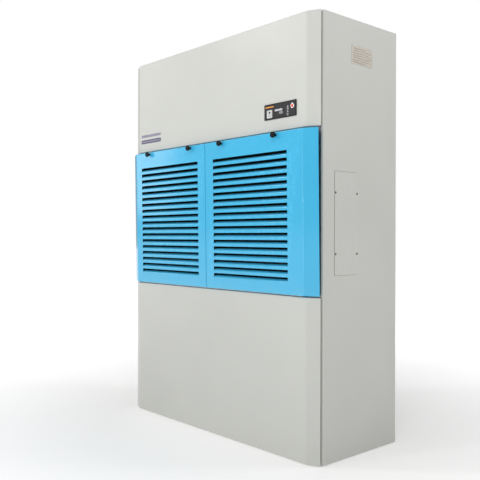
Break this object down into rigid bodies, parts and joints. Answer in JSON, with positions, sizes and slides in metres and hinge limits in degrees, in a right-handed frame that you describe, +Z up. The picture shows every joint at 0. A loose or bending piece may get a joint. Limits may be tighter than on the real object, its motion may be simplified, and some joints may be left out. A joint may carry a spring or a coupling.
{
  "type": "commercial floor-standing dehumidifier",
  "caption": "Tall sheet-steel dehumidifier cabinet with tilting louvred intake panels, control plate, coils, compressor and blowers inside, and outlet grilles on top.",
  "frame": {"origin": "on the floor, under the middle of the cabinet", "axes": "+Z up, -Y the front with the louvres, +X to the right of a person facing the front"},
  "size_m": [1.2662, 0.56, 1.75],
  "materials": {
    "grey_paint": "satin",
    "blue_paint": "gloss",
    "black_plastic": "satin",
    "filter_mesh": "matte",
    "control_face": "satin",
    "white_plastic": "satin",
    "display_lens": "gloss",
    "red_plastic": "gloss",
    "silver_plastic": "satin",
    "bezel_chrome": "polished",
    "zinc_steel": "satin",
    "bright_steel": "satin",
    "nameplate_metal": "satin",
    "black_steel": "satin",
    "fin_aluminium": "satin",
    "copper_pipe": "satin",
    "board_green": "satin",
    "pad_rubber": "matte",
    "grille_plastic": "satin"
  },
  "bodies": {
    "cabinet": {"side_panel_left": "grey_paint", "side_panel_right": "grey_paint", "front_panel_upper": "grey_paint", "front_panel_lower": "grey_paint", "rear_panel": "grey_paint", "top_panel": "grey_paint", "access_cover": "grey_paint", "cable_gland": "black_plastic", "drain_pipe": "black_plastic", "control_plate": "control_face", "key_tile": "white_plastic", "humidity_sensor": "white_plastic", "display_window": "display_lens", "power_bezel": "bezel_chrome", "base_plate": "zinc_steel", "post_front_left": "zinc_steel", "post_front_right": "zinc_steel", "post_rear_left": "zinc_steel", "post_rear_right": "zinc_steel", "rail_lower": "zinc_steel", "rail_upper": "zinc_steel", "fan_deck": "zinc_steel", "electric_box": "zinc_steel", "electric_lid": "zinc_steel", "drain_pan": "zinc_steel", "blower_housing_left": "zinc_steel", "blower_housing_right": "zinc_steel", "cover_screw_1": "bright_steel", "cover_screw_2": "bright_steel", "cover_screw_3": "bright_steel", "cover_screw_4": "bright_steel", "nameplate": "nameplate_metal", "compressor": "black_steel", "fan_motor": "black_steel", "evaporator": "fin_aluminium", "condenser": "fin_aluminium", "suction_pipe": "copper_pipe", "discharge_pipe": "copper_pipe", "liquid_pipe": "copper_pipe", "circuit_board": "board_green", "pad_front_left": "pad_rubber", "pad_front_right": "pad_rubber", "pad_rear_left": "pad_rubber", "pad_rear_right": "pad_rubber", "outlet_grille_left": "grille_plastic", "outlet_grille_right": "grille_plastic"},
    "inlet_left": {"inlet_panel_left": "blue_paint", "filter_left": "filter_mesh"},
    "inlet_right": {"inlet_panel_right": "blue_paint", "filter_right": "filter_mesh"},
    "knob_turn_1": {"knob_1": "black_plastic"},
    "knob_turn_2": {"knob_2": "black_plastic"},
    "knob_turn_3": {"knob_3": "black_plastic"},
    "knob_turn_4": {"knob_4": "black_plastic"},
    "power_press": {"power_button": "red_plastic"},
    "mode_press": {"mode_key": "black_plastic"},
    "set_press": {"set_button": "silver_plastic"},
    "fan_rotor": {"fan_shaft": "bright_steel", "impeller_left": "zinc_steel", "impeller_right": "zinc_steel"}
  },
  "joints": [
    {"name": "inlet_left_tilt", "type": "hinge", "parent": "cabinet", "child": "inlet_left", "pos_m": [-0.3, -0.251, 0.653], "axis": [1, 0, 0], "range_deg": [0, 30]},
    {"name": "inlet_right_tilt", "type": "hinge", "parent": "cabinet", "child": "inlet_right", "pos_m": [0.3, -0.251, 0.653], "axis": [1, 0, 0], "range_deg": [0, 30]},
    {"name": "knob_1_turn", "type": "hinge", "parent": "inlet_left", "child": "knob_turn_1", "pos_m": [-0.455, -0.26131, 1.28692], "axis": [0, -0.9999, -0.0163], "range_deg": [0, 1260]},
    {"name": "knob_2_turn", "type": "hinge", "parent": "inlet_left", "child": "knob_turn_2", "pos_m": [-0.127, -0.26131, 1.28692], "axis": [0, -0.9999, -0.0163], "range_deg": [0, 1260]},
    {"name": "knob_3_turn", "type": "hinge", "parent": "inlet_right", "child": "knob_turn_3", "pos_m": [0.093, -0.26131, 1.28692], "axis": [0, -0.9999, -0.0163], "range_deg": [0, 1260]},
    {"name": "knob_4_turn", "type": "hinge", "parent": "inlet_right", "child": "knob_turn_4", "pos_m": [0.427, -0.26131, 1.28692], "axis": [0, -0.9999, -0.0163], "range_deg": [0, 1260]},
    {"name": "power_button_press", "type": "slide", "parent": "cabinet", "child": "power_press", "axis": [0, 1, 0], "range_m": [0, 0.0015], "stiffness_N_per_m": 1000},
    {"name": "mode_key_press", "type": "slide", "parent": "cabinet", "child": "mode_press", "axis": [0, 1, 0], "range_m": [0, 0.001], "stiffness_N_per_m": 1000},
    {"name": "set_button_press", "type": "slide", "parent": "cabinet", "child": "set_press", "axis": [0, 1, 0], "range_m": [0, 0.001], "stiffness_N_per_m": 1000},
    {"name": "fan_spin", "type": "hinge", "parent": "cabinet", "child": "fan_rotor", "pos_m": [0, 0.03, 1.52], "axis": [1, 0, 0], "continuous": true}
  ]
}
